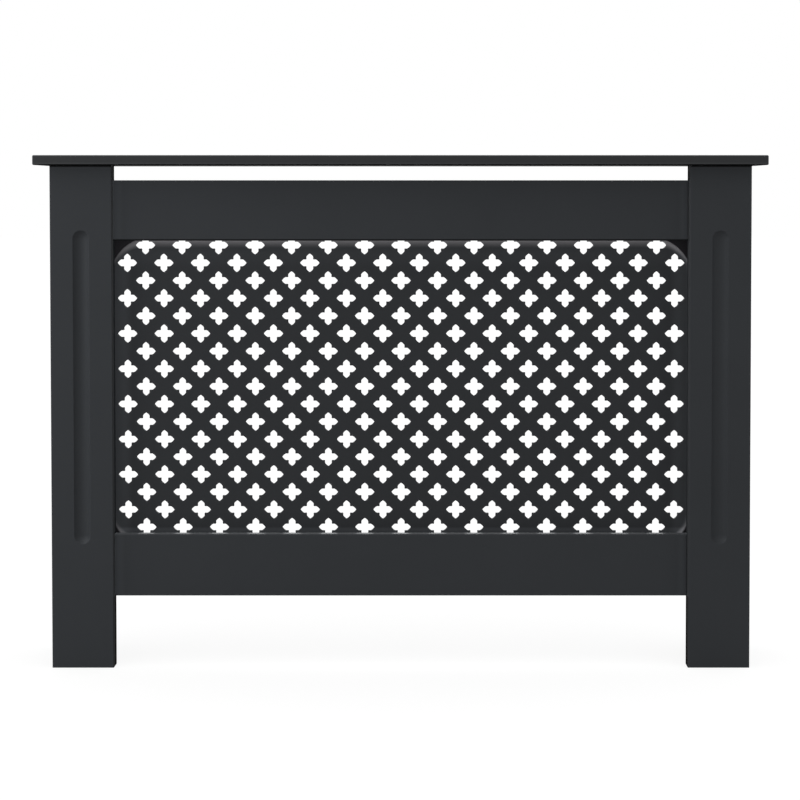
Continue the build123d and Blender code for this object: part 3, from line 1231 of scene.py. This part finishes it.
@dataclass(frozen=True)
class WallBracket:
    """A bent steel angle with rounded ends, two countersunk holes and one wall hole."""

    thickness: float = 0.0025
    outer_bend: float = 0.003
    inner_bend: float = 0.0006
    end_radius: float = 0.004
    round_steps: int = 6
    wall_hole_radius: float = 0.00275
    wall_hole_segments: int = 28
    wall_hole_from_side: float = 0.024
    edge_softness: float = 0.0003
    edge_steps: int = 2
    sharp_angle: float = math.radians(40)
    countersink: Countersink = Countersink()

    def build(self, side: Side) -> bpy.types.Object:
        """Fold, round, drill and deburr the bracket of one side.

        Args:
            side: The side of the cabinet that it is screwed to.

        Returns:
            The bracket.
        """
        box = Box.of_node(f"{side.hand}_wall_bracket")
        outer_x, tip_x = (box.low.x, box.high.x) if side is Side.LEFT else (box.high.x, box.low.x)
        inwards = math.copysign(1.0, tip_x - outer_x)
        inner_x = outer_x + inwards * self.thickness
        bend_y = box.high.y - self.thickness
        bracket = add_box(
            f"{side.hand}_steel_angle",
            Vector((min(outer_x, inner_x), box.low.y, box.low.z)),
            Vector((max(outer_x, inner_x), box.high.y, box.high.z)),
        )
        with editing(bracket):
            bpy.ops.mesh.select_all(action="SELECT")
            bpy.ops.mesh.bisect(plane_co=(outer_x, bend_y, box.low.z), plane_no=Axis.Y.value)
            pick(
                bracket,
                Kind.FACE,
                lambda face: lies_at(face, Axis.X, inner_x) and face.calc_center_median().y > bend_y,
            )
            extrude_by(Vector((tip_x - inner_x, 0, 0)))
            self.round_edges(bracket, Axis.Z, {Axis.X: outer_x, Axis.Y: box.high.y}, self.outer_bend)
            self.round_edges(bracket, Axis.Z, {Axis.X: inner_x, Axis.Y: bend_y}, self.inner_bend)
            for z in (box.low.z, box.high.z):
                self.round_edges(bracket, Axis.X, {Axis.Y: box.low.y, Axis.Z: z}, self.end_radius)
                self.round_edges(bracket, Axis.Y, {Axis.X: tip_x, Axis.Z: z}, self.end_radius)
        close_mesh(bracket)
        self.countersink.cut(bracket, ScrewPlace.find(f"{side.hand}_bracket_screws"), 2 * self.thickness)
        hole_x = outer_x + inwards * self.wall_hole_from_side
        self.drill_wall_hole(bracket, Vector((hole_x, box.high.y, box.centre.z)))
        apply_modifier(
            bracket,
            "BEVEL",
            width=self.edge_softness,
            segments=self.edge_steps,
            limit_method="ANGLE",
            angle_limit=self.sharp_angle,
        )
        close_mesh(bracket)
        smooth(bracket)
        return bracket

    def round_edges(
        self, bracket: bpy.types.Object, along: Axis, places: dict[Axis, float], radius: float
    ) -> None:
        """Round some edges of the bracket, in edit mode.

        Args:
            bracket: The bracket.
            along: The axis that the edges run along.
            places: Where they lie on the other axes.
            radius: The radius of the rounding.
        """

        def is_wanted(edge: bmesh.types.BMEdge) -> bool:
            """Whether an edge runs the right way at the right place."""
            return runs_along(edge, along) and all(lies_at(edge, axis, at) for axis, at in places.items())

        pick(bracket, Kind.EDGE, is_wanted)
        bpy.ops.mesh.bevel(offset=radius, segments=self.round_steps, affect="EDGES")

    def drill_wall_hole(self, bracket: bpy.types.Object, place: Vector) -> None:
        """Drill the hole for the wall screw."""
        reach = 2 * self.thickness
        profile = [(self.wall_hole_radius, reach), (self.wall_hole_radius, -reach)]
        drill = add_turned("wall_drill", profile, self.wall_hole_segments)
        drill.matrix_world = Matrix.Translation(place) @ Matrix.Rotation(math.pi / 2, 4, "X")
        apply_place(drill)
        cut_out(bracket, drill)


@dataclass
class Ironmongery(SubAssembly):
    """The wall brackets and the screws."""

    bracket: WallBracket = WallBracket()
    screw: WoodScrew = WoodScrew()
    zinc: Plating = Plating()
    yellow_zinc: Plating = Plating(bright=(0.72, 0.60, 0.30), dull=(0.50, 0.42, 0.24), roughness=0.3)
    sided_screws: tuple[str, ...] = ("post", "batten", "cleat", "shelf", "bracket")

    def build(self) -> list[bpy.types.Object]:
        """Make the brackets, and put a screw of the right length wherever the model has one."""
        zinc = self.zinc.material("bright_zinc")
        yellow = self.yellow_zinc.material("yellow_zinc")
        pieces = []
        for side in Side:
            bracket = self.dress(self.bracket.build(side), zinc)
            pieces.append(self.put_in_place(bracket, f"{side.hand}_wall_bracket", Slot.BRACKET))
        nodes = [f"{side.hand}_{use}_screws" for side in Side for use in self.sided_screws]
        patterns: dict[int, bpy.types.Object] = {}
        for node in ("grille_screws", *nodes):
            screws = self.dress(self.drive_screws(node, patterns), yellow)
            pieces.append(self.put_in_place(screws, node, Slot.SCREW))
        for pattern in patterns.values():
            bpy.data.objects.remove(pattern)
        return pieces

    def drive_screws(self, node: str, patterns: dict[int, bpy.types.Object]) -> bpy.types.Object:
        """Copy a screw to each place of one node.

        Args:
            node: The node of the model.
            patterns: The screws made so far, by length in millimetres; new lengths are added.

        Returns:
            All screws of the node, joined.
        """
        driven = []
        for place in ScrewPlace.find(node):
            millimetres = round(place.length * 1000)
            if millimetres not in patterns:
                patterns[millimetres] = self.screw.build(place.length)
            twin = copy_of(patterns[millimetres], f"{node}_copy")
            twin.matrix_world = place.matrix
            apply_place(twin)
            driven.append(twin)
        return join_pieces(f"threaded_{node}", driven)


@dataclass(frozen=True)
class Lattice:
    """The staggered rows of cross-shaped holes."""

    middle_height: float = 0.432
    hole_pitch: float = 0.0566
    row_pitch: float = 0.02745
    half_width: float = 0.0151
    half_height: float = 0.0144
    arm_half: float = 0.00525
    arm_end: float = 0.0042
    arm_bulge: float = 0.0005
    arm_steps: int = 4
    longer_rows: tuple[int, int] = (16, 8)
    shorter_rows: tuple[int, int] = (15, 9)

    def cutter(self, front: float, back: float) -> bpy.types.Object:
        """Make the shape that cuts every hole.

        Args:
            front: The depth where the shape starts.
            back: The depth where it ends.

        Returns:
            The shape.
        """
        cross = self.draw_cross(front, back)
        shorter = copy_of(cross, "shorter_rows")
        self.repeat(cross, *self.longer_rows)
        self.repeat(shorter, *self.shorter_rows)
        return join_pieces("lattice_cutter", [cross, shorter])

    def draw_cross(self, front: float, back: float) -> bpy.types.Object:
        """Draw four arms out of a small square and extrude the cross through the board."""
        centre = Vector((0, front, self.middle_height))
        bpy.ops.object.select_all(action="DESELECT")
        bpy.ops.mesh.primitive_plane_add(
            size=2 * self.arm_half, location=centre, rotation=(math.pi / 2, 0, 0)
        )
        cross = name_piece(bpy.context.object, "cross_cutter")
        apply_place(cross)
        with editing(cross):
            for way in (-1, 1):
                self.draw_arm(cross, centre, Axis.X, way, self.half_width)
                self.draw_arm(cross, centre, Axis.Z, way, self.half_height)
            bpy.ops.mesh.select_all(action="SELECT")
            extrude_by(Vector((0, back - front, 0)))
        close_mesh(cross)
        return cross

    def draw_arm(self, cross: bpy.types.Object, centre: Vector, axis: Axis, way: int, tip: float) -> None:
        """Draw one arm out of the square, straight at first and then narrowing to its tip.

        Args:
            cross: The square, in edit mode.
            centre: The middle of the square.
            axis: The axis that the arm runs along.
            way: 1 or -1, the way it runs.
            tip: How far its tip is from the middle.
        """
        run = Vector(axis.value)

        def ends_square(edge: bmesh.types.BMEdge) -> bool:
            """Whether an edge is the side of the square that the arm starts from."""
            offsets = [vertex.co - centre for vertex in edge.verts]
            return all(
                abs(way * offset.dot(run) - self.arm_half) < TOLERANCE and offset.length < 2 * self.arm_half
                for offset in offsets
            )

        pick(cross, Kind.EDGE, ends_square)
        extrude_by(way * self.arm_end * run)
        shoulder = self.arm_half + self.arm_end
        step = (tip - shoulder) / self.arm_steps
        width = 1.0
        for number in range(1, self.arm_steps + 1):
            share = number / self.arm_steps
            bulge = 4 * math.sqrt(2) * self.arm_bulge / self.arm_half * share * (1 - share)
            next_width = 1 - share + bulge
            extrude_by(way * step * run)
            ratio = next_width / width
            scale_about(centre, (1.0, 1.0, ratio) if axis is Axis.X else (ratio, 1.0, 1.0))
            width = next_width

    def repeat(self, cross: bpy.types.Object, columns: int, rows: int) -> None:
        """Move a cross to the lowest hole on the left of its rows, and repeat it over them."""
        cross.location = (-(columns - 1) / 2 * self.hole_pitch, 0, -(rows - 1) * self.row_pitch)
        apply_place(cross)
        steps = ((columns, (self.hole_pitch, 0, 0)), (rows, (0, 0, 2 * self.row_pitch)))
        for count, step in steps:
            apply_modifier(
                cross,
                "ARRAY",
                count=count,
                use_relative_offset=False,
                use_constant_offset=True,
                constant_offset_displace=step,
            )


@dataclass
class GrilleBoard(SubAssembly):
    """The pierced board behind the rails, with its routed recess and its lattice of holes."""

    node: str = "grille_board"
    paint: GrillePaint = GrillePaint()
    lattice: Lattice = Lattice()
    countersink: Countersink = Countersink()
    rim: float = 0.015
    recess_depth: float = 0.007
    corner_radius: float = 0.065
    corner_steps: int = 24
    cove_radius: float = 0.008
    cove_steps: int = 8
    edge_softness: float = 0.0004
    sharp_angle: float = math.radians(60)
    # Painted light: lighter beside the posts and under the upper rail against the shade they cast, and a
    # painted highlight just above the lower rail.
    beside_post_light: LineStyle = LineStyle(tone=1.6, width=0.028)
    below_rail_light: LineStyle = LineStyle(tone=1.35, width=0.045)
    above_rail_highlight: LineStyle = LineStyle(tone=1.9, width=0.009)

    @property
    def margin(self) -> float:
        """How much wider the recess cutter is than the recess that it leaves in the face."""
        reach = math.sqrt(self.cove_radius**2 - (self.cove_radius - self.recess_depth) ** 2)
        return self.cove_radius - reach

    def build(self) -> list[bpy.types.Object]:
        """Cut the recess, the lattice and the screw holes out of a blank, and soften its edges."""
        box = Box.of_node(self.node)
        inset = Vector((self.rim, 0, self.rim))
        recess = Box(box.low + inset, box.high - inset)
        board = add_box("pierced_grille_board", box.low, box.high)
        cut_out(board, self.recess_cutter(recess))
        past = self.recess_depth
        self.countersink.cut(board, ScrewPlace.find("grille_screws"), 2 * box.half.y + past)
        cut_out(board, self.lattice.cutter(box.low.y - past, box.high.y + past))
        close_mesh(board)
        apply_modifier(
            board,
            "BEVEL",
            width=self.edge_softness,
            segments=1,
            limit_method="ANGLE",
            angle_limit=self.sharp_angle,
            use_clamp_overlap=False,
            loop_slide=False,
        )
        close_mesh(board)
        smooth(board)
        lines = self.painted_light_lines()
        self.dress(board, self.paint.material("paint_grille_board", recess, self.corner_radius, lines))
        return [self.put_in_place(board, self.node, Slot.GRILLE)]

    def painted_light_lines(self) -> tuple[ToneLine, ...]:
        """Where painted light lightens the board: along the posts and the rails."""
        upper, lower = Box.of_node("upper_rail"), Box.of_node("lower_rail")
        return (
            ToneLine(Axis.X, upper.low.x, self.beside_post_light),
            ToneLine(Axis.X, upper.high.x, self.beside_post_light),
            ToneLine(Axis.Z, upper.low.z, self.below_rail_light),
            ToneLine(Axis.Z, lower.high.z, self.above_rail_highlight),
        )

    def recess_cutter(self, recess: Box) -> bpy.types.Object:
        """Make the shape that a round-nosed router takes out of the board's face.

        Args:
            recess: The recess, as wide and high as it is in the face.

        Returns:
            The shape.
        """
        margin = self.margin
        web_y = recess.low.y + self.recess_depth
        front_y = recess.low.y - self.cove_radius
        low = Vector((recess.low.x - margin, front_y, recess.low.z - margin))
        high = Vector((recess.high.x + margin, web_y, recess.high.z + margin))
        cutter = add_box("recess_cutter", low, high)
        corner = self.corner_radius + margin
        with editing(cutter):
            pick(cutter, Kind.EDGE, lambda edge: runs_along(edge, Axis.Y))
            bpy.ops.mesh.bevel(offset=corner, segments=self.corner_steps, affect="EDGES")
            pick(cutter, Kind.EDGE, lambda edge: lies_at(edge, Axis.Y, web_y))
            bpy.ops.mesh.bevel(offset=self.cove_radius, segments=self.cove_steps, affect="EDGES")
        close_mesh(cutter)
        return cutter


# ---------------------------------------------------------------------------------------
# Studio and camera
# ---------------------------------------------------------------------------------------


@dataclass(frozen=True)
class Lamp:
    """A large square lamp that casts no shadow."""

    name: str
    place: Vector
    power: float
    size: float = 1.6
    colour: Colour = (0.96, 0.98, 1.0)
    aim: Vector = Vector((0.0, 0.0, 0.4))

    def hang(self, unlit: list[bpy.types.Object]) -> None:
        """Hang the lamp.

        Args:
            unlit: What it doesn't light.
        """
        light = bpy.data.lights.new(self.name, "AREA")
        light.shape = "SQUARE"
        light.size = self.size
        light.energy = self.power
        light.color = self.colour
        light.use_shadow = False
        lamp = bpy.data.objects.new(self.name, light)
        bpy.context.scene.collection.objects.link(lamp)
        lamp.location = self.place
        lamp.rotation_euler = (self.aim - self.place).to_track_quat("-Z", "Y").to_euler()
        receivers = bpy.data.collections.new(f"{self.name}_receivers")
        lamp.light_linking.receiver_collection = receivers
        for thing in unlit:
            receivers.objects.link(thing)
        for link in receivers.collection_objects:
            link.light_linking.link_state = "EXCLUDE"


@dataclass
class Studio:
    """A white floor, a surround that is bright overhead, and large lamps, strongest on the left.

    The lamps cast no shadows: the rails and the grille lie behind the posts, yet the
    photograph shows them as evenly lit as the posts. The surround alone lights the floor
    and gives the soft shadows. The back lamp lights what the photograph doesn't show.
    """

    floor_size: float = 60.0
    floor_colour: Colour = (0.75, 0.75, 0.75)
    seen_floor_colour: Colour = (0.2, 0.2, 0.2)
    floor_glow: float = 0.84
    overhead: float = 1.58
    lamps: tuple[Lamp, ...] = (
        Lamp("left_lamp", Vector((-2.1, -0.95, 2.3)), 43.2),
        Lamp("near_left_lamp", Vector((-1.5, -0.6, 0.9)), 6.6, 1.0),
        Lamp("right_lamp", Vector((2.1, -0.95, 0.8)), 4.0),
        Lamp("back_lamp", Vector((0.0, 2.6, 1.3)), 30.0),
    )

    def build(self) -> None:
        """Build the floor, the surround and the lamps."""
        floor = self.lay_floor()
        self.set_surround()
        for lamp in self.lamps:
            lamp.hang([floor])

    @staticmethod
    def seen_directly(wiring: Wiring) -> Socket:
        """Whether a ray comes from the camera, a reflection or something clear."""
        rays = wiring.add("ShaderNodeLightPath").outputs
        seen = wiring.math("MAXIMUM", rays["Is Camera Ray"], rays["Is Glossy Ray"])
        return wiring.math("MAXIMUM", seen, rays["Is Transmission Ray"])

    def lay_floor(self) -> bpy.types.Object:
        """Lay the floor: white with a faint shadow as seen, pale grey in the light it throws back."""
        bpy.ops.object.select_all(action="DESELECT")
        bpy.ops.mesh.primitive_plane_add(size=self.floor_size)
        floor = name_piece(bpy.context.object, "studio_floor")
        made = Material.start(
            "studio_floor", Roughness=1.0, Specular_IOR_Level=0.0, Emission_Strength=self.floor_glow
        )
        seen = self.seen_directly(made.wiring)
        colour = made.wiring.blend(seen, opaque(self.floor_colour), opaque(self.seen_floor_colour))
        glow = made.wiring.blend(seen, opaque(BLACK), opaque(WHITE))
        made.wiring.feed(made.shader.inputs["Base Color"], colour)
        made.wiring.feed(made.shader.inputs["Emission Color"], glow)
        floor.data.materials.append(made.material)
        return floor

    def set_surround(self) -> None:
        """Light the scene from overhead, fading towards the horizon, and show white behind it."""
        world = bpy.data.worlds.new("studio_surround")
        world.use_nodes = True
        bpy.context.scene.world = world
        wiring = Wiring(world.node_tree)
        world.node_tree.nodes.clear()
        seen = self.seen_directly(wiring)
        height = wiring.split(wiring.add("ShaderNodeTexCoord").outputs["Generated"])[2]
        glow = wiring.math("MULTIPLY", wiring.math("MAXIMUM", height, 0.0), self.overhead)
        unseen = wiring.math("SUBTRACT", 1.0, seen)
        level = wiring.math("ADD", wiring.math("MULTIPLY", glow, unseen), seen)
        background = wiring.add("ShaderNodeBackground", {"Color": opaque(WHITE), "Strength": level})
        wiring.add("ShaderNodeOutputWorld", {"Surface": background.outputs[0]})


@dataclass
class PhotoCamera:
    """The camera at the photograph's place: square to the front, just under the shelf's height.

    The lens is shifted down, so that the uprights stay upright. A small share of that is a tilt
    instead, which keeps the cabinet in the picture from other sides.
    """

    x: float = 0.0451
    distance: float = 3.3
    height: float = 0.7361
    focal_pixels: float = 2169.1
    picture_pixels: float = 800.0
    vanishing_x: float = 430.1
    horizon_y: float = 190.6
    tilt_pixels: float = 80.0
    sensor: float = 36.0

    def build(self) -> None:
        """Set up the camera and make it the scene's."""
        middle = self.picture_pixels / 2
        lens = bpy.data.cameras.new("photo_camera")
        lens.sensor_width = self.sensor
        lens.lens = self.focal_pixels / self.picture_pixels * self.sensor
        lens.shift_x = (middle - self.vanishing_x) / self.picture_pixels
        lens.shift_y = (self.horizon_y + self.tilt_pixels - middle) / self.picture_pixels
        camera = bpy.data.objects.new("photo_camera", lens)
        bpy.context.scene.collection.objects.link(camera)
        camera.location = (self.x, cad_low.y - self.distance, self.height)
        tilt = math.atan2(self.tilt_pixels, self.focal_pixels)
        camera.rotation_euler = (math.pi / 2 - tilt, 0.0, 0.0)
        bpy.context.scene.camera = camera


def main() -> None:
    """Build the sub-assemblies in order, then the studio and the camera."""
    logging.basicConfig(level=logging.INFO, format="%(name)s: %(message)s")
    bpy.context.scene.view_settings.view_transform = "Standard"
    for assembly in (Carcass(), GrilleBoard(), Battens(), Ironmongery()):
        for piece in assembly.build():
            log.info("%s: %s, %d faces", type(assembly).__name__, piece.name, len(piece.data.polygons))
    Studio().build()
    PhotoCamera().build()


if __name__ == "__main__":
    main()
